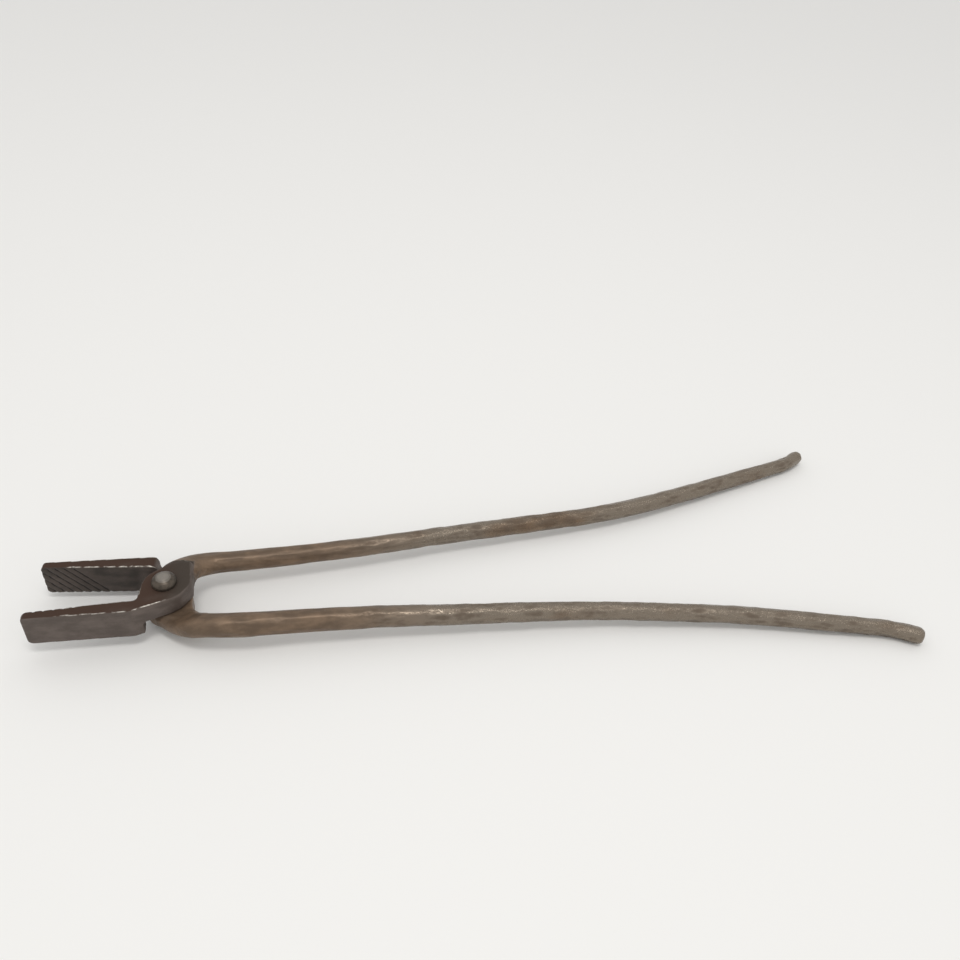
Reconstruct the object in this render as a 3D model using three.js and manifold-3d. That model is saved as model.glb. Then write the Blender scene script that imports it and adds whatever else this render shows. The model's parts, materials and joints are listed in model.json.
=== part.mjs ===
// Blacksmith's flat-jaw tongs, 24 inches long: two forged halves that cross at one rivet.
//
// Millimetres. The origin is on the rivet's axis, in the plane that the tongs lie on. +Z is up,
// along the rivet. +X runs from the rivet to midway between the two rein ends, and the jaws point
// along -X. Each half is made in its own frame, with its boss above the joint plane z = 0, its jaw
// on the -Y side and its rein on the +Y side. The lower half is the same forging turned over
// about X. A smith makes the two by eye, so their jaws and reins differ a little.

import * as THREE from "three";
import { mergeVertices } from "three/addons/utils/BufferGeometryUtils.js";
import Module from "manifold-3d";

// ---- Driving dimensions ----

const CLEARANCE = 0.3;             // between pieces that rest on or turn in each other
const JOINT_HEIGHT = 19.8;         // joint plane, where the two bosses meet, above the table
const BOSS_THICKNESS = 14.6;       // one half, at the rivet
const BOSS_RADIUS = 15.2;
const BOSS_ROUNDING = 1.8;         // forged edges of the boss, above and below
const WEB_RADIUS = 12;             // plan fillet between the shoulder and the inside of the rein
const WEB_HEIGHT = 4;              // above the joint plane, so the rein stays round over the web
const JAW_HEIGHT = 24.7;
const JAW_ROOT_THICKNESS = 10.1;
const JAW_TIP_THICKNESS = 5.4;
const JAW_TIP_CORNER = 3.4;
const NOTCH_FILLET = 2.4;          // under the boss, at the jaw's root

const GROOVE_PITCH = 4.5;          // square to the grooves
const GROOVE_ANGLE = THREE.MathUtils.degToRad(48.5);
const GROOVE_WIDTH = 1.8;
const GROOVE_DEPTH = 0.8;

const HEAD_RADIUS = 8.3;
const HEAD_HEIGHT = 6.2;
const HEAD_RIM = 1.1;
const SHANK_RADIUS = 5;
const TAIL_RADIUS = 8.2;

const STEM_INNER_X = -16.8;        // where the inside of the stem runs up to the boss
const STEM_WEB = 1.7;              // small web in the corner between stem and gripping face

const NECK_CORNER = 4;             // plan radius where the boss's shoulder turns to the rein
const NECK_LENGTH = 45;            // along the rein's path, from inside the boss
const REIN_SIDES = 32;
const REIN_STEP = 8;
const REIN_END_ROUND = 4.5;
const REIN_END_NARROWING = 0.45;   // of the radius, at the very end
const REIN_END_RINGS = 4;
const LANDING_X = 500;             // the reins come down to the table here

// Each half at rest. openAngle turns the jaw outwards from the X axis, and gripOffset is from the
// rivet's axis to the gripping face. The jaw has its full height from its tip to rootX, where
// rootCorner rounds its free corner. Its outer face bends at stemBendX to run into the boss.
// The boss is flat at shoulderX, towards the reins.
// The groove nearest the joint meets the jaw's edge at grooveX.
// reinPath holds x and the distance from the X axis; reinRadius holds x and radius.
const HALVES = {
  upper_half: {
    overturned: false,
    openAngle: THREE.MathUtils.degToRad(1.1),
    gripOffset: 11.8,
    jawLength: 87.3,
    rootX: -14.7,
    rootCorner: 0.9,
    stemBendX: -21,
    shoulderX: 17.4,
    grooveX: -55,
    reinPath: [[40, 28.7], [90, 30.6], [142, 34.1], [197, 39.3], [254, 43.9], [314, 49.0],
      [357, 56.0], [403, 67.0], [452, 80.2], [491, 90.8], [507, 95.4], [519, 101.2], [526, 104.6]],
    reinRadius: [[30, 7.6], [60, 7.5], [100, 7.1], [400, 6.85], [440, 6.6], [498, 6.15],
      [526, 6.0]],
  },
  lower_half: {
    overturned: true,
    openAngle: THREE.MathUtils.degToRad(7.05),
    gripOffset: 19.45,
    jawLength: 85.8,
    rootX: -9.5,
    rootCorner: 5,
    stemBendX: -10,
    shoulderX: 16.2,
    grooveX: -43.7,
    reinPath: [[46, 30.5], [93, 32.2], [141, 34.8], [190, 38.9], [240, 43.0], [292, 48.2],
      [343, 55.7], [395, 64.9], [446, 77.0], [497, 90.0], [505, 93.2], [513, 97.3], [520, 101.5]],
    reinRadius: [[30, 8.6], [90, 8.0], [150, 7.85], [215, 7.35], [275, 6.9], [390, 6.75],
      [420, 6.6], [520, 6.4]],
  },
};

// Sections of the neck, from inside the boss out to where the rein is a plain round bar. Each has
// its plan centre, its half width and half height, the height of its middle above the joint
// plane, and its squareness: 2 is an ellipse, and higher powers are squarer.
const NECK = [
  { x: 2, y: 6, halfWidth: 13, halfHeight: 6.8, middle: 7.3, power: 4 },
  { x: 9.5, y: 16, halfWidth: 10.4, halfHeight: 6.7, middle: 7.2, power: 3.4 },
  { x: 17.5, y: 24, halfWidth: 8.7, halfHeight: 7.1, middle: 3.4, power: 2.8 },
  { x: 27, y: 27.8, halfWidth: 8.1, halfHeight: 7.6, middle: 0.7, power: 2.3 },
];

const wasm = await Module();
wasm.setup();

// ---- Joining and cutting ----

function toSolid(geometry) {
  const plain = geometry.clone();
  plain.deleteAttribute("normal");
  plain.deleteAttribute("uv");
  const merged = mergeVertices(plain, 1e-4);
  return new wasm.Manifold(new wasm.Mesh({
    numProp: 3,
    vertProperties: new Float32Array(merged.attributes.position.array),
    triVerts: new Uint32Array(merged.index.array),
  }));
}

function toGeometry(solid) {
  const mesh = solid.getMesh();
  const indexed = new THREE.BufferGeometry();
  indexed.setAttribute("position", new THREE.BufferAttribute(mesh.vertProperties, 3));
  indexed.setIndex(new THREE.BufferAttribute(mesh.triVerts, 1));
  const geometry = indexed.toNonIndexed();
  geometry.computeVertexNormals();
  return geometry;
}

// A plan outline in x and y, raised from z = low to z = high.
function raised(shape, low, high, curveSegments = 12) {
  const options = { depth: high - low, bevelEnabled: false, curveSegments };
  return new THREE.ExtrudeGeometry(shape, options).translate(0, 0, low);
}

// A side outline in x and z, spread from y = near to y = far.
function spread(shape, near, far, curveSegments = 6) {
  const options = { depth: far - near, bevelEnabled: false, curveSegments };
  return new THREE.ExtrudeGeometry(shape, options).rotateX(Math.PI / 2).translate(0, far, 0);
}

function cylinder(radius, low, high, segments) {
  const geometry = new THREE.CylinderGeometry(radius, radius, high - low, segments);
  return geometry.rotateX(Math.PI / 2).translate(0, 0, (low + high) / 2);
}

function interpolate(table, x) {
  const last = table.length - 1;
  if (x <= table[0][0]) return table[0][1];
  if (x >= table[last][0]) return table[last][1];
  const next = table.findIndex((entry) => entry[0] >= x);
  const [x0, value0] = table[next - 1];
  const [x1, value1] = table[next];
  return THREE.MathUtils.mapLinear(x, x0, x1, value0, value1);
}

// ---- Jaw ----

const bossBottom = CLEARANCE / 2;
const bossTop = BOSS_THICKNESS;
const jawBottom = BOSS_THICKNESS - JAW_HEIGHT;

// The jaw seen from the side: full height out at the tip, one boss thick from the notch inwards.
function jawSide(half) {
  const tip = -half.jawLength;
  const c = JAW_TIP_CORNER;
  const r = half.rootCorner;
  const n = NOTCH_FILLET;
  const shape = new THREE.Shape();
  shape.moveTo(tip + c, jawBottom);
  shape.lineTo(half.rootX - r, jawBottom);
  shape.absarc(half.rootX - r, jawBottom + r, r, -Math.PI / 2, 0);
  shape.lineTo(half.rootX, bossBottom - n);
  shape.absarc(half.rootX + n, bossBottom - n, n, Math.PI, Math.PI / 2, true);
  shape.lineTo(BOSS_RADIUS, bossBottom);
  shape.lineTo(BOSS_RADIUS, bossTop);
  shape.lineTo(tip + c, bossTop);
  shape.absarc(tip + c, bossTop - c, c, Math.PI / 2, Math.PI);
  shape.lineTo(tip, jawBottom + c);
  shape.absarc(tip + c, jawBottom + c, c, Math.PI, Math.PI * 1.5);
  return shape;
}

// Where a straight line from a point outside the boss touches its rim, in plan: side 1 is the rim's
// right and side -1 its left, as seen from the point.
function touchBoss(from, side) {
  const angle = from.angle() + side * Math.acos(BOSS_RADIUS / from.length());
  return new THREE.Vector2(BOSS_RADIUS * Math.cos(angle), BOSS_RADIUS * Math.sin(angle));
}

// Where the jaw's outer face starts, bends, and runs into the boss, in plan.
function outerFace(half) {
  const grip = -half.gripOffset;
  const bend = new THREE.Vector2(half.stemBendX, grip - JAW_ROOT_THICKNESS);
  const tip = new THREE.Vector2(-half.jawLength, grip - JAW_TIP_THICKNESS);
  return [tip, bend, touchBoss(bend, 1)];
}

// The jaw in plan: a plate that thickens from its tip to its root.
function platePlan(half) {
  return new THREE.Shape([
    new THREE.Vector2(-half.jawLength, -half.gripOffset),
    ...outerFace(half),
    new THREE.Vector2(half.rootX, -half.gripOffset),
  ]);
}

// The stem in plan: it joins the plate to the boss, with a small web in the inner corner.
function stemPlan(half) {
  const [, bend, touch] = outerFace(half);
  const inner = new THREE.Vector2(STEM_INNER_X, STEM_WEB - half.gripOffset);
  return new THREE.Shape([
    bend,
    touch,
    new THREE.Vector2(0, 0),
    touchBoss(inner, -1),
    inner,
    new THREE.Vector2(STEM_INNER_X - STEM_WEB, -half.gripOffset),
  ]);
}

function gripGrooves(half) {
  const step = GROOVE_PITCH / Math.sin(GROOVE_ANGLE);
  const length = JAW_HEIGHT / Math.sin(GROOVE_ANGLE) * 1.4;
  const cutter = new THREE.CylinderGeometry(GROOVE_WIDTH / 2, GROOVE_WIDTH / 2, length, 4);
  cutter.scale(1, 1, GROOVE_DEPTH / (GROOVE_WIDTH / 2));
  cutter.rotateX(Math.PI / 2).rotateY(Math.PI / 2 - GROOVE_ANGLE);
  const middle = (bossTop + jawBottom) / 2;
  const lean = (bossTop - middle) / Math.tan(GROOVE_ANGLE);
  const count = Math.ceil((half.jawLength + half.grooveX) / step);
  return Array.from({ length: count }, (_, i) => {
    const x = half.grooveX - i * step - lean;
    return cutter.clone().translate(x, -half.gripOffset, middle);
  });
}

function makeJaw(half) {
  const side = spread(jawSide(half), -half.gripOffset - 2 * JAW_ROOT_THICKNESS, BOSS_RADIUS);
  const plan = raised(platePlan(half), jawBottom - 1, bossTop + 1);
  const plate = toSolid(side).intersect(toSolid(plan));
  const grooved = gripGrooves(half).reduce((jaw, groove) => jaw.subtract(toSolid(groove)), plate);
  const stem = toSolid(raised(stemPlan(half), bossBottom, bossTop));
  return grooved.add(stem).rotate([0, 0, THREE.MathUtils.radToDeg(half.openAngle)]);
}

// ---- Boss, neck and rein ----

// The boss in plan: a round eye with a squared shoulder that the neck leaves from.
function bossPlan(half) {
  const eyeBack = THREE.MathUtils.degToRad(114);
  const eyeFront = THREE.MathUtils.degToRad(-38);
  const shoulderFront = -2;
  const shoulderBack = 16;
  const neckMeets = new THREE.Vector2(11, 22.4);
  const shape = new THREE.Shape();
  shape.moveTo(BOSS_RADIUS * Math.cos(eyeBack), BOSS_RADIUS * Math.sin(eyeBack));
  shape.absarc(0, 0, BOSS_RADIUS, eyeBack, eyeFront + 2 * Math.PI);
  shape.lineTo(half.shoulderX, shoulderFront);
  shape.absarc(half.shoulderX - NECK_CORNER, shoulderBack, NECK_CORNER, 0, Math.PI / 2);
  shape.lineTo(neckMeets.x, neckMeets.y);
  return shape;
}

// The boss with its edges rounded over, inside the outline of its plan.
function makeBoss(half) {
  const geometry = new THREE.ExtrudeGeometry(bossPlan(half), {
    depth: bossTop - bossBottom - 2 * BOSS_ROUNDING,
    bevelThickness: BOSS_ROUNDING,
    bevelSize: BOSS_ROUNDING,
    bevelOffset: -BOSS_ROUNDING,
    bevelSegments: 3,
    curveSegments: 20,
  });
  return toSolid(geometry.translate(0, 0, bossBottom + BOSS_ROUNDING));
}

// The web that fills the crotch between the shoulder and the rein, rounded out in plan.
function makeWeb(half) {
  const shoulder = half.shoulderX;
  const reinMiddle = NECK.at(-1).y;
  const reinInside = reinMiddle - NECK.at(-1).halfWidth;
  const buried = shoulder - 2 * BOSS_ROUNDING;
  const shape = new THREE.Shape();
  shape.moveTo(buried, reinInside - WEB_RADIUS);
  shape.lineTo(shoulder, reinInside - WEB_RADIUS);
  shape.absarc(shoulder + WEB_RADIUS, reinInside - WEB_RADIUS, WEB_RADIUS, Math.PI, Math.PI / 2, true);
  shape.lineTo(shoulder + WEB_RADIUS, reinMiddle);
  shape.lineTo(buried, reinMiddle);
  return toSolid(raised(shape, bossBottom, WEB_HEIGHT));
}

// Height of the rein's middle above the table: level at the joint, then down to rest on it.
function reinHeight(half, x) {
  const landed = interpolate(half.reinRadius, LANDING_X);
  return interpolate([[NECK.at(-1).x, JOINT_HEIGHT], [LANDING_X, landed]], x);
}

// One ring of the rein: a squared ellipse that stands across the path at this place.
function ringPoints(centre, tangent, section) {
  const across = new THREE.Vector3(-tangent.y, tangent.x, 0).normalize();
  return Array.from({ length: REIN_SIDES }, (_, i) => {
    const turn = (i / REIN_SIDES) * Math.PI * 2;
    const bulge = (value) => Math.sign(value) * Math.abs(value) ** (2 / section.power);
    const sideways = section.halfWidth * bulge(Math.cos(turn));
    const upwards = section.halfHeight * bulge(Math.sin(turn));
    return centre.clone().addScaledVector(across, sideways).setZ(centre.z + upwards);
  });
}

// Closed solid through a row of equal rings, with a flat cap at each end.
function skin(rings) {
  const points = rings.flat();
  const faces = [];
  for (let ring = 0; ring < rings.length - 1; ring += 1) {
    for (let i = 0; i < REIN_SIDES; i += 1) {
      const a = ring * REIN_SIDES + i;
      const b = ring * REIN_SIDES + ((i + 1) % REIN_SIDES);
      faces.push(a, b, a + REIN_SIDES, b, b + REIN_SIDES, a + REIN_SIDES);
    }
  }
  const lastRing = (rings.length - 1) * REIN_SIDES;
  for (let i = 1; i < REIN_SIDES - 1; i += 1) {
    faces.push(0, i + 1, i, lastRing, lastRing + i, lastRing + i + 1);
  }
  const geometry = new THREE.BufferGeometry().setFromPoints(points);
  geometry.setIndex(faces);
  return geometry;
}

function makeRein(half) {
  const drop = (x) => (reinHeight(half, x) - JOINT_HEIGHT) * (half.overturned ? -1 : 1);
  const neck = NECK.map((s) => new THREE.Vector3(s.x, s.y, s.middle));
  const bar = half.reinPath.map(([x, y]) => new THREE.Vector3(x, y, drop(x)));
  const path = new THREE.CatmullRomCurve3([...neck, ...bar], false, "centripetal");
  const length = path.getLength();
  const places = [];
  for (let at = 0; at < NECK_LENGTH; at += REIN_STEP / 3) places.push(at);
  for (let at = NECK_LENGTH; at < length - REIN_END_ROUND; at += REIN_STEP) places.push(at);
  const almostFlat = Math.PI * 0.48;
  for (let i = 0; i <= REIN_END_RINGS; i += 1) {
    places.push(length - REIN_END_ROUND * (1 - Math.sin((i / REIN_END_RINGS) * almostFlat)));
  }
  const tables = (key, value) => [...NECK.map((s) => [s.x, s[key]]), [half.reinPath[0][0], value]];
  const rings = places.map((at) => {
    const centre = path.getPointAt(Math.min(at / length, 1));
    const tangent = path.getTangentAt(Math.min(at / length, 1));
    const radius = interpolate(half.reinRadius, centre.x);
    const toEnd = Math.min((length - at) / REIN_END_ROUND, 1);
    const rounding = 1 - REIN_END_NARROWING * (1 - Math.sqrt(toEnd * (2 - toEnd)));
    const inNeck = centre.x < half.reinPath[0][0];
    const section = {
      halfWidth: inNeck ? interpolate(tables("halfWidth", radius), centre.x) : radius * rounding,
      halfHeight: inNeck ? interpolate(tables("halfHeight", radius), centre.x) : radius * rounding,
      power: inNeck ? interpolate(tables("power", 2), centre.x) : 2,
    };
    return ringPoints(centre, tangent, section);
  });
  return toSolid(skin(rings));
}

// ---- One half: boss, jaw and rein in one forging ----

function makeHalf(half) {
  const otherBoss = cylinder(BOSS_RADIUS + CLEARANCE, -2 * BOSS_THICKNESS, bossBottom, 48);
  const hole = cylinder(SHANK_RADIUS + CLEARANCE, -BOSS_THICKNESS, 2 * BOSS_THICKNESS, 32);
  const forging = makeBoss(half)
    .add(makeWeb(half))
    .add(makeJaw(half))
    .add(makeRein(half))
    .subtract(toSolid(otherBoss))
    .subtract(toSolid(hole));
  const geometry = toGeometry(forging);
  if (half.overturned) geometry.rotateX(Math.PI);
  return geometry;
}

// ---- Rivet: domed head on the upper boss, peened tail under the lower one ----

function makeRivet() {
  const seat = JOINT_HEIGHT + BOSS_THICKNESS + CLEARANCE;
  const tailTop = JOINT_HEIGHT - BOSS_THICKNESS - CLEARANCE;
  const profile = [
    [0, 0], [TAIL_RADIUS - 1.6, 0], [TAIL_RADIUS - 0.4, 0.8], [TAIL_RADIUS, 2],
    [TAIL_RADIUS, tailTop], [SHANK_RADIUS, tailTop], [SHANK_RADIUS, seat],
    [HEAD_RADIUS - 0.2, seat], [HEAD_RADIUS, seat + HEAD_RIM],
  ].map(([r, z]) => new THREE.Vector2(r, z));
  const domeSteps = 7;
  for (let i = 1; i <= domeSteps; i += 1) {
    const turn = (i / domeSteps) * Math.PI / 2;
    const radius = HEAD_RADIUS * Math.cos(turn);
    const height = HEAD_RIM + (HEAD_HEIGHT - HEAD_RIM) * Math.sin(turn);
    profile.push(new THREE.Vector2(i === domeSteps ? 0 : radius, seat + height));
  }
  return new THREE.LatheGeometry(profile, 32).rotateX(Math.PI / 2);
}

// ---- Assembly ----

const forgedSteel = { color: 0x4a3f38, roughness: 0.6, metalness: 0.85 };
const rivetSteel = { color: 0x3f3a37, roughness: 0.5, metalness: 0.85 };

const tongs = new THREE.Group();
for (const [name, half] of Object.entries(HALVES)) {
  const mesh = new THREE.Mesh(makeHalf(half), new THREE.MeshStandardMaterial(forgedSteel));
  mesh.name = name;
  mesh.position.z = JOINT_HEIGHT;
  tongs.add(mesh);
}
const rivet = new THREE.Mesh(makeRivet(), new THREE.MeshStandardMaterial(rivetSteel));
rivet.name = "rivet";
tongs.add(rivet);

export default tongs;
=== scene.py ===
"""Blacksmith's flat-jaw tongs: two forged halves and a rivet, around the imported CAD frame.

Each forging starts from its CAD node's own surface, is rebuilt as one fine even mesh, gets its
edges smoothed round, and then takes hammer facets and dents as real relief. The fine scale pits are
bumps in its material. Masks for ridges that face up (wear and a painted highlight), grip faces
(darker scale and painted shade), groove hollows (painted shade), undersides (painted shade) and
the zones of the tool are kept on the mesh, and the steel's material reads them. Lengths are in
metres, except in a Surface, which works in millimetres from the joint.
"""

import json
import math

import bpy
import numpy as np
from mathutils import Matrix, Vector, noise


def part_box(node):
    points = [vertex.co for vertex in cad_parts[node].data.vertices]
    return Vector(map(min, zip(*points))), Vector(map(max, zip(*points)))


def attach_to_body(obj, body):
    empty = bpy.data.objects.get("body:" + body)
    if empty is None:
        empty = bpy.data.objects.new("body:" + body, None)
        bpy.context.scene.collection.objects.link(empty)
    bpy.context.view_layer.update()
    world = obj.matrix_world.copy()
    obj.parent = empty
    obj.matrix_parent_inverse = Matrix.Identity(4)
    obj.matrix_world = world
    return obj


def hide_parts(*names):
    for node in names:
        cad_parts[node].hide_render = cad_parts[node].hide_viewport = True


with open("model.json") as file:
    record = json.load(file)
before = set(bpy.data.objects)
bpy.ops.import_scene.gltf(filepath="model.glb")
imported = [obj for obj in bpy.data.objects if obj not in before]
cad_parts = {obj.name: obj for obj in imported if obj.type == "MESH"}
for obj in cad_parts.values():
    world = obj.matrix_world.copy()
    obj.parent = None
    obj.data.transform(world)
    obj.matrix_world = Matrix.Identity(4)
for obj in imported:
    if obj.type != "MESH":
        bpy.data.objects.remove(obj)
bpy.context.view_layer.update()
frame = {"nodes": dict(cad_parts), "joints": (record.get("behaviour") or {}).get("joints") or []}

MM = 0.001
HEAD_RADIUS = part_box("rivet")[1].x / MM     # mm
PIVOT = np.array(frame["joints"][0]["pos_m"])

VOXEL = 0.68 * MM
RIVET_VOXEL = 0.25 * MM


# ---- Camera, light and floor ----

CAMERA_PLACE = (0.0933, -0.4387, 0.4870)
CAMERA_AZIMUTH = 14.90      # degrees to the right of +Y
CAMERA_DIP = 40.33          # degrees below level
CAMERA_ROLL = 4.95          # degrees, right side up
CAMERA_LENS = 33.75         # mm on a 36 mm sensor


WORLD_COLOUR = (1.0, 0.995, 0.985, 1)
WORLD_STRENGTH = 0.80
LIGHT_PLACE = (0.15, -0.40, 2.0)
LIGHT_TARGET = (0.20, 0.0, 0.0)
LIGHT_SIZE = (0.7, 0.5)
LIGHT_WATTS = 10
LIGHT_COLOUR = (1.0, 0.99, 0.97)

FLOOR_COLOUR = (0.86, 0.855, 0.84, 1)
FLOOR_REACH = 4.0
FLOOR_DROP = 0.05 * MM      # keeps the floor just clear of the steel that lies on it


def turn(degrees, axis):
    return Matrix.Rotation(math.radians(degrees), 4, axis)


def make_camera():
    data = bpy.data.cameras.new("camera")
    data.lens = CAMERA_LENS
    data.sensor_width = 36
    data.clip_start = 0.01
    camera = bpy.data.objects.new("camera", data)
    aim = turn(-CAMERA_AZIMUTH, "Z") @ turn(90 - CAMERA_DIP, "X") @ turn(CAMERA_ROLL, "Z")
    camera.matrix_world = Matrix.Translation(CAMERA_PLACE) @ aim
    bpy.context.scene.collection.objects.link(camera)
    bpy.context.scene.camera = camera


def make_light(name, place, target, size, watts, colour):
    data = bpy.data.lights.new(name, "AREA")
    data.shape = "RECTANGLE"
    data.size, data.size_y = size
    data.energy = watts
    data.color = colour
    light = bpy.data.objects.new(name, data)
    light.location = place
    light.rotation_euler = (Vector(target) - Vector(place)).to_track_quat("-Z", "Y").to_euler()
    bpy.context.scene.collection.objects.link(light)


def make_floor():
    mesh = bpy.data.meshes.new("floor")
    reach = FLOOR_REACH
    corners = [(-reach, -reach, 0), (reach, -reach, 0), (reach, reach, 0), (-reach, reach, 0)]
    mesh.from_pydata(corners, [], [(0, 1, 2, 3)])
    floor = bpy.data.objects.new("floor", mesh)
    floor.location.z = -FLOOR_DROP
    bpy.context.scene.collection.objects.link(floor)
    material = bpy.data.materials.new("pale_floor")
    material.use_nodes = True
    shader = material.node_tree.nodes["Principled BSDF"]
    shader.inputs["Base Color"].default_value = FLOOR_COLOUR
    shader.inputs["Roughness"].default_value = 0.55
    shader.inputs["Specular IOR Level"].default_value = 0.25
    mesh.materials.append(material)


def make_world():
    world = bpy.data.worlds.new("studio")
    world.use_nodes = True
    background = world.node_tree.nodes["Background"]
    background.inputs["Color"].default_value = WORLD_COLOUR
    background.inputs["Strength"].default_value = WORLD_STRENGTH
    bpy.context.scene.world = world


# ---- Mesh and relief helpers ----

def smoothstep(low, high, value):
    t = np.clip((value - low) / (high - low), 0, 1)
    return t * t * (3 - 2 * t)


def vertex_places(mesh):
    flat = np.empty(len(mesh.vertices) * 3)
    mesh.vertices.foreach_get("co", flat)
    return flat.reshape(-1, 3)


def vertex_normals(mesh):
    flat = np.empty(len(mesh.vertices) * 3)
    mesh.vertex_normals.foreach_get("vector", flat)
    return flat.reshape(-1, 3)


def set_places(mesh, places):
    mesh.vertices.foreach_set("co", places.astype(np.float32).ravel())
    mesh.update()


def edge_pairs(mesh):
    flat = np.empty(len(mesh.edges) * 2, dtype=np.int64)
    mesh.edges.foreach_get("vertices", flat)
    return flat.reshape(-1, 2)


def neighbour_mean(values, pairs):
    """Each vertex's mean over its neighbours, for one value or a row of values a vertex."""
    columns = values.reshape(len(values), -1)
    ends = np.concatenate([pairs[:, 0], pairs[:, 1]])
    others = np.concatenate([pairs[:, 1], pairs[:, 0]])
    count = np.maximum(np.bincount(ends, minlength=len(values)), 1)
    means = [
        np.bincount(ends, weights=column[others], minlength=len(values)) / count
        for column in columns.T
    ]
    return np.stack(means, axis=1).reshape(values.shape)


def smoothed(values, pairs, rounds, weight=0.5, lock=None, swell=0.0):
    """Laplacian smoothing. `lock` is 1 where a vertex stays, and `swell` undoes the shrinking."""
    free = 1.0 if lock is None else (1 - lock)[:, None]
    for _ in range(rounds):
        values = values + weight * free * (neighbour_mean(values, pairs) - values)
        if swell:
            values = values - swell * free * (neighbour_mean(values, pairs) - values)
    return values


def store(mesh, name, values):
    attribute = mesh.attributes.new(name, "FLOAT", "POINT")
    attribute.data.foreach_set("value", values.astype(np.float32))


# ---- The two forgings ----

def remeshed(name, node, voxel):
    """A new object with the node's surface, as one fine even mesh."""
    piece = bpy.data.objects.new(name, frame["nodes"][node].data.copy())
    bpy.context.scene.collection.objects.link(piece)
    remesh = piece.modifiers.new("remesh", "REMESH")
    remesh.mode = "VOXEL"
    remesh.voxel_size = voxel
    graph = bpy.context.evaluated_depsgraph_get()
    fine = bpy.data.meshes.new_from_object(piece.evaluated_get(graph), depsgraph=graph)
    piece.modifiers.clear()
    piece.data = fine
    fine.materials.clear()
    fine.name = name
    fine.shade_smooth()
    return piece


class Surface:
    """A mesh seen in its half's own frame: millimetres from the joint, with its boss above."""

    def __init__(self, mesh, overturned=False):
        self.mesh = mesh
        self.flip = np.array((1, -1, -1) if overturned else (1, 1, 1))
        self.pairs = edge_pairs(mesh)
        self.places = (vertex_places(mesh) - PIVOT) / MM * self.flip

    def normals(self):
        set_places(self.mesh, self.places * self.flip * MM + PIVOT)
        return vertex_normals(self.mesh) * self.flip

    def smooth(self, rounds, lock=None, swell=0.0):
        self.places = smoothed(self.places, self.pairs, rounds, 0.5, lock, swell)

    def sink(self, depth):
        """Moves each vertex inwards by its depth in millimetres."""
        self.places = self.places - self.normals() * depth[:, None]

    def hammer(self, rng, inside, spacing, depth, crown, area):
        """Presses crowned hammer faces into the surface, about `spacing` mm apart.

        `depth` is the deepest blow and `crown` the face's radius, in mm. `area` is one vertex's
        share of the surface, in square mm.
        """
        normals = self.normals()
        start = self.places.copy()
        candidates = np.flatnonzero(inside)
        count = int(len(candidates) * area / spacing ** 2)
        for seed in rng.choice(candidates, size=count, replace=False):
            deep = rng.uniform(0.4, 1.0) * depth
            crowned = rng.uniform(0.6, 1.5) * crown
            reach = math.sqrt(2 * crowned * deep) * 1.5 + 2
            near = np.flatnonzero(np.abs(self.places - start[seed]).max(1) < reach)
            away = self.places[near] - start[seed]
            height = away @ normals[seed]
            level = away - height[:, None] * normals[seed]
            face = (level ** 2).sum(1) / (2 * crowned) - deep
            facing = smoothstep(0.1, 0.4, normals[near] @ normals[seed])
            same_face = 1 - smoothstep(0.2, 0.8, height)
            push = np.maximum(height - face, 0) * facing * same_face
            self.places[near] -= push[:, None] * normals[seed]

    def noise(self, scale, shift=0.0):
        moved = Vector((shift, 2 * shift, 3 * shift))
        return np.array([noise.noise(Vector(p) / scale + moved) for p in self.places])

    def spread_out(self, values, rounds):
        """The values blurred a little along the surface."""
        return smoothed(values[:, None], self.pairs, rounds)[:, 0]

    def standing_out(self, normals, rounds):
        """How far each place stands above its surroundings in mm: positive on ridges."""
        lifted = ((self.places - smoothed(self.places, self.pairs, rounds)) * normals).sum(1)
        return self.spread_out(lifted, 1)


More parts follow.
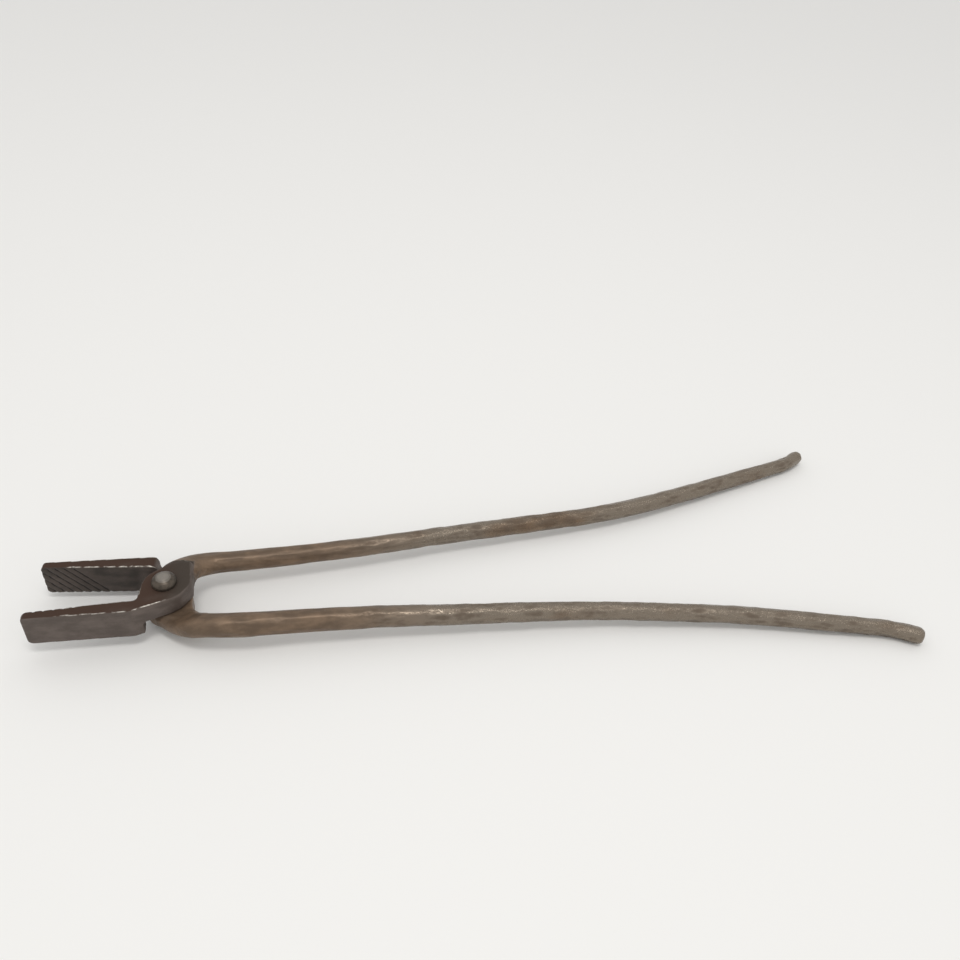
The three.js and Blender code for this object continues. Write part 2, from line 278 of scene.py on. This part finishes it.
def forge(name, node, overturned, neck_from, seed):
    """One tong half, hammered and scaled. `neck_from` is the x and y at which its boss ends."""
    rng = np.random.RandomState(seed)
    piece = remeshed(name, node, VOXEL)
    surface = Surface(piece.data, overturned)
    area = (VOXEL / MM) ** 2
    x, y, z = surface.places.T
    normal = surface.normals()

    jaw = 1 - smoothstep(-22, -16, x)
    past_boss = np.maximum(x - neck_from[0], y - neck_from[1])
    neck = smoothstep(-0.4, 0.8, past_boss) * (1 - jaw)
    bar = smoothstep(24, 44, x)
    drawn = smoothstep(90, 200, x)
    gripping = jaw * (normal[:, 1] > 0.3)
    grooved = gripping * (1 - smoothstep(-40, -36, x))
    keep = np.clip(1.3 * surface.spread_out(grooved, 2), 0, 1)
    mating = (z < 1.2) & (np.hypot(x, y) < 34)
    rounded = smoothstep(0, 8, x) * ~mating
    inner_corner = smoothstep(-25, -21, x) * (x < -9) * (normal[:, 1] > 0.2) * (z > 1.2)
    boss_back = smoothstep(-8, 0, y) * smoothstep(-20, -16, x) * ~mating
    rein_root = smoothstep(14, 20, x) * (1 - smoothstep(40, 48, x)) * ~mating

    surface.smooth(1, lock=keep)
    surface.smooth(14, lock=1 - np.maximum.reduce([rounded, inner_corner, boss_back]))
    surface.smooth(30, lock=1 - rein_root)
    surface.smooth(16, lock=1 - bar, swell=0.5)

    surface.hammer(rng, bar > 0.5, spacing=9.0, depth=0.30, crown=220, area=area)
    surface.hammer(rng, drawn > 0.3, spacing=5.0, depth=0.34, crown=60, area=area)
    on_neck = (neck > 0.5) & (bar < 0.9) & ~mating
    on_jaw = (jaw > 0.9) & (gripping < 0.5)
    on_boss = (neck < 0.5) & (jaw < 0.5) & ~mating
    surface.hammer(rng, on_neck, spacing=7.0, depth=0.12, crown=90, area=area)
    surface.hammer(rng, on_jaw, spacing=9.0, depth=0.05, crown=300, area=area)
    surface.hammer(rng, on_boss, spacing=7.5, depth=0.08, crown=200, area=area)
    surface.smooth(1, lock=np.maximum(keep, jaw))

    dents = 0.08 + 0.10 * surface.noise(11.0, 3.1) + 0.06 * surface.noise(3.4, 8.7)
    surface.sink(np.clip(dents, 0, None) * (0.25 + 0.75 * bar) * ~mating)

    normal = surface.normals()
    upward = normal[:, 2] * surface.flip[2]
    # Ridges facing up on the head get a bright colour in the steel: partly wear, partly a painted
    # highlight.
    handled_and_lit = smoothstep(0.25, 0.6, upward) * smoothstep(-78, -60, x) * (1 - smoothstep(0, 5, x))
    ridge = np.clip(surface.standing_out(normal, 4) * 9, -1, 1)
    store(piece.data, "edge", np.clip(ridge, 0, 1) * handled_and_lit)
    # Dark groove hollows on the grip: painted shade.
    store(piece.data, "groove_shade", np.clip(-ridge, 0, 1) * keep)
    # Grip faces: darker scale and painted shade between the jaws.
    store(piece.data, "grip", surface.spread_out(gripping, 1))
    # Faces that look down: painted shade.
    store(piece.data, "painted_underside_shade", 1 - smoothstep(-0.7, 0.3, upward))
    store(piece.data, "proud", np.clip(surface.standing_out(normal, 12) * 6, -1, 1))
    store(piece.data, "neck", neck)
    store(piece.data, "drawn", drawn)
    store(piece.data, "level", np.abs(normal[:, 2]) * (1 - neck))
    store(piece.data, "bossward", smoothstep(-10, 12, x))
    return piece


# ---- The rivet ----

DOME_HEIGHT = 5     # mm, the part of the head that the hammer shaped
HEAD_EDGE = 1.2     # mm, left round the head's rim

def peen(name, node, seed):
    """The rivet, with its dome planished and its tail spread by the hammer."""
    rng = np.random.RandomState(seed)
    piece = remeshed(name, node, RIVET_VOXEL)
    surface = Surface(piece.data)
    area = (RIVET_VOXEL / MM) ** 2
    x, y, z = surface.places.T
    radius = np.hypot(x, y)
    head = (z > 0) & (radius < HEAD_RADIUS - HEAD_EDGE)
    surface.smooth(8, swell=0.5)
    surface.smooth(2)
    dome = head & (z > surface.places[:, 2].max() - DOME_HEIGHT)
    surface.hammer(rng, dome, spacing=3.4, depth=0.05, crown=30, area=area)
    surface.sink(np.clip(0.05 + 0.08 * surface.noise(4.0, 5.3), 0, None) * (np.abs(z) > 15))

    normal = surface.normals()
    store(piece.data, "edge", np.clip(surface.standing_out(normal, 4) * 20, 0, 1))
    store(piece.data, "level", np.clip(normal[:, 2], 0, 1) * (z > 0))
    return piece


# ---- Materials ----

class Tree:
    """Short names for building one material's nodes."""

    def __init__(self, name):
        self.material = bpy.data.materials.new(name)
        self.material.use_nodes = True
        self.nodes = self.material.node_tree.nodes
        self.shader = self.nodes["Principled BSDF"]
        self.shader.inputs["Specular IOR Level"].default_value = 0.3
        self.coordinates = self.nodes.new("ShaderNodeTexCoord").outputs["Object"]

    def join(self, socket, value):
        """Links a socket to another's output, or gives it a plain value."""
        if isinstance(value, bpy.types.NodeSocket):
            self.material.node_tree.links.new(value, socket)
        else:
            socket.default_value = value

    def attribute(self, name):
        node = self.nodes.new("ShaderNodeAttribute")
        node.attribute_name = name
        return node.outputs["Fac"]

    def noise(self, size, detail=4.0, roughness=0.55, stretch=1.0):
        """Noise with features about `size` metres across, `stretch` times longer along X."""
        mapping = self.nodes.new("ShaderNodeMapping")
        mapping.inputs["Scale"].default_value = (1 / stretch, 1, 1)
        self.join(mapping.inputs["Vector"], self.coordinates)
        node = self.nodes.new("ShaderNodeTexNoise")
        node.inputs["Scale"].default_value = 1 / size
        node.inputs["Detail"].default_value = detail
        node.inputs["Roughness"].default_value = roughness
        self.join(node.inputs["Vector"], mapping.outputs["Vector"])
        return node.outputs["Fac"]

    def step(self, value, low, high):
        """0 below `low` and 1 above `high`, with a soft step between."""
        node = self.nodes.new("ShaderNodeMapRange")
        node.interpolation_type = "SMOOTHSTEP"
        self.join(node.inputs["Value"], value)
        node.inputs["From Min"].default_value = low
        node.inputs["From Max"].default_value = high
        return node.outputs["Result"]

    def maths(self, operation, first, second):
        node = self.nodes.new("ShaderNodeMath")
        node.operation = operation
        self.join(node.inputs[0], first)
        self.join(node.inputs[1], second)
        return node.outputs["Value"]

    def tint(self, factor, first, second):
        """A colour between two colours."""
        node = self.nodes.new("ShaderNodeMix")
        node.data_type = "RGBA"
        self.join(node.inputs["Factor"], factor)
        for socket, value in ((node.inputs[6], first), (node.inputs[7], second)):
            self.join(socket, (*value, 1) if isinstance(value, tuple) else value)
        return node.outputs[2]

    def between(self, factor, first, second):
        """A number between two numbers."""
        node = self.nodes.new("ShaderNodeMix")
        self.join(node.inputs["Factor"], factor)
        self.join(node.inputs[2], first)
        self.join(node.inputs[3], second)
        return node.outputs[0]

    def bump(self, height, depth, under=None):
        """Bumps of `depth` metres, on top of the bumps `under` them."""
        node = self.nodes.new("ShaderNodeBump")
        self.join(node.inputs["Distance"], depth)
        self.join(node.inputs["Height"], height)
        if under is not None:
            self.join(node.inputs["Normal"], under)
        return node.outputs["Normal"]

    def finish(self, colour, metallic, roughness, normal):
        self.join(self.shader.inputs["Base Color"], colour)
        self.join(self.shader.inputs["Metallic"], metallic)
        self.join(self.shader.inputs["Roughness"], roughness)
        self.join(self.shader.inputs["Normal"], normal)
        return self.material


SCALE_GREY = (0.150, 0.121, 0.106)
SCALE_DARK = (0.102, 0.082, 0.071)
# Darker colour for the grip faces: partly darker scale, partly painted shade between the jaws.
GRIP_SCALE_AND_SHADE = (0.055, 0.046, 0.040)
# Near black for the groove hollows of the grip: painted shade.
GROOVE_SHADE_BLACK = (0.016, 0.013, 0.011)
RUST_RED = (0.053, 0.028, 0.018)
RUST_DARK = (0.050, 0.038, 0.029)
RUST_WARM = (0.205, 0.140, 0.092)
BAR_BROWN = (0.124, 0.086, 0.058)
BAR_DULL = (0.140, 0.108, 0.080)
BAR_GREY = (0.235, 0.196, 0.156)
# Bright bare steel for ridges and the rivet's crown: partly wear, partly a painted highlight.
BRIGHT_WEAR_AND_HIGHLIGHT = (0.42, 0.39, 0.35)
RIVET_DARK = (0.060, 0.050, 0.040)
RIVET_BROWN = (0.105, 0.086, 0.068)


def forged_steel():
    """Fire scale on the head, warm rust on the necks, and greyer bars that show wear. Grip faces,
    groove hollows and undersides are darkened with painted shade, and ridges that face up carry a
    painted highlight as well as wear.
    """
    tree = Tree("forged_steel")
    neck = tree.attribute("neck")
    drawn = tree.attribute("drawn")
    proud = tree.attribute("proud")
    cloud = tree.noise(0.030, 3, stretch=2)
    patch = tree.noise(0.008, 5, 0.6, stretch=2)
    grain = tree.noise(0.0014, 5, 0.65)

    sides = tree.tint(tree.step(patch, 0.35, 0.7), SCALE_DARK, SCALE_GREY)
    # Grip faces get a darker colour: partly darker scale, partly painted shade between the jaws.
    gripped_scale_and_shade = tree.tint(tree.step(patch, 0.3, 0.7), GRIP_SCALE_AND_SHADE, SCALE_DARK)
    sides = tree.tint(tree.attribute("grip"), sides, gripped_scale_and_shade)
    flat = tree.step(tree.attribute("level"), 0.5, 0.95)
    rusty = tree.maths("MULTIPLY", flat, tree.step(cloud, 0.1, 0.4))
    tops = tree.tint(tree.attribute("bossward"), RUST_RED, RUST_DARK)
    head = tree.tint(rusty, sides, tops)

    root = tree.tint(tree.step(patch, 0.35, 0.7), BAR_BROWN, RUST_WARM)
    lean = tree.maths("MULTIPLY", proud, 0.25)
    # Faces that look down are pushed to the duller, darker bar colour: painted shade. The rest of
    # this mix is wear.
    underside_shade_push = tree.maths("MULTIPLY", tree.attribute("painted_underside_shade"), -0.12)
    wear_and_underside_shade = tree.step(tree.maths("ADD", patch, tree.maths("ADD", lean, underside_shade_push)), 0.36, 0.62)
    far = tree.tint(wear_and_underside_shade, BAR_DULL, BAR_GREY)
    bar = tree.tint(tree.maths("MULTIPLY", drawn, tree.step(cloud, 0.2, 0.5)), root, far)
    skin = tree.tint(neck, head, bar)

    chips = tree.noise(0.005, 3)
    # Ridges that face up are tinted bright: partly wear, partly a painted highlight.
    ridge = tree.step(tree.attribute("edge"), 0.6, 1.0)
    wear_and_highlight = tree.maths("MULTIPLY", ridge, tree.step(chips, 0.40, 0.58))
    # Groove hollows are painted near black: painted shade.
    colour = tree.tint(tree.step(tree.attribute("groove_shade"), 0.15, 0.8), skin, GROOVE_SHADE_BLACK)
    colour = tree.tint(wear_and_highlight, colour, BRIGHT_WEAR_AND_HIGHLIGHT)

    head_metal = tree.between(rusty, 0.35, 0.1)
    bar_metal = tree.between(tree.maths("MULTIPLY", drawn, wear_and_underside_shade), 0.38, 0.85)
    metallic = tree.between(wear_and_highlight, tree.between(neck, head_metal, bar_metal), 1.0)
    head_gloss = tree.between(rusty, 0.55, 0.75)
    bar_gloss = tree.between(tree.maths("MULTIPLY", drawn, wear_and_underside_shade), 0.38, 0.27)
    gloss = tree.between(wear_and_highlight, tree.between(neck, head_gloss, bar_gloss), 0.35)
    roughness = tree.maths("ADD", gloss, tree.between(grain, -0.08, 0.08))

    pits = tree.bump(tree.step(grain, 0.25, 0.55), tree.between(drawn, 0.00005, 0.00016))
    normal = tree.bump(patch, 0.0003, pits)
    return tree.finish(colour, metallic, roughness, normal)


def rivet_steel():
    """Dark steel, with a brighter crown on the dome and brighter ridges, each partly wear and
    partly a painted highlight.
    """
    tree = Tree("rivet_steel")
    patch = tree.noise(0.004, 4, 0.6)
    grain = tree.noise(0.0012, 4, 0.6)
    skin = tree.tint(tree.step(patch, 0.35, 0.65), RIVET_DARK, RIVET_BROWN)
    # The dome's up-facing crown is tinted bright: partly wear, partly a painted highlight.
    crown = tree.step(tree.attribute("level"), 0.86, 1.0)
    colour = tree.tint(tree.maths("MULTIPLY", crown, 0.50), skin, BRIGHT_WEAR_AND_HIGHLIGHT)
    # Ridges such as the lip are tinted bright: partly wear, partly a painted highlight.
    wear_and_highlight = tree.step(tree.attribute("edge"), 0.3, 0.8)
    colour = tree.tint(tree.maths("MULTIPLY", wear_and_highlight, 0.35), colour, BRIGHT_WEAR_AND_HIGHLIGHT)
    metallic = tree.between(wear_and_highlight, 0.65, 1.0)
    roughness = tree.between(tree.step(grain, 0.3, 0.7), 0.33, 0.47)
    normal = tree.bump(grain, 0.0001)
    return tree.finish(colour, metallic, roughness, normal)


# ---- Putting it together ----

def attach(piece, node, body, material):
    piece.data.materials.append(material)
    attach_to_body(piece, body)
    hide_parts(node)


bpy.context.scene.view_settings.view_transform = "Standard"
make_camera()
make_world()
make_light("overhead", LIGHT_PLACE, LIGHT_TARGET, LIGHT_SIZE, LIGHT_WATTS, LIGHT_COLOUR)
make_floor()

steel = forged_steel()
upper = forge("upper_forging", "upper_half", overturned=False, neck_from=(18.0, 21.5), seed=11)
lower = forge("lower_forging", "lower_half", overturned=True, neck_from=(8.0, 8.0), seed=23)
rivet = peen("peened_rivet", "rivet", seed=5)
attach(upper, "upper_half", "upper", steel)
attach(lower, "lower_half", "lower", steel)
attach(rivet, "rivet", "lower", rivet_steel())
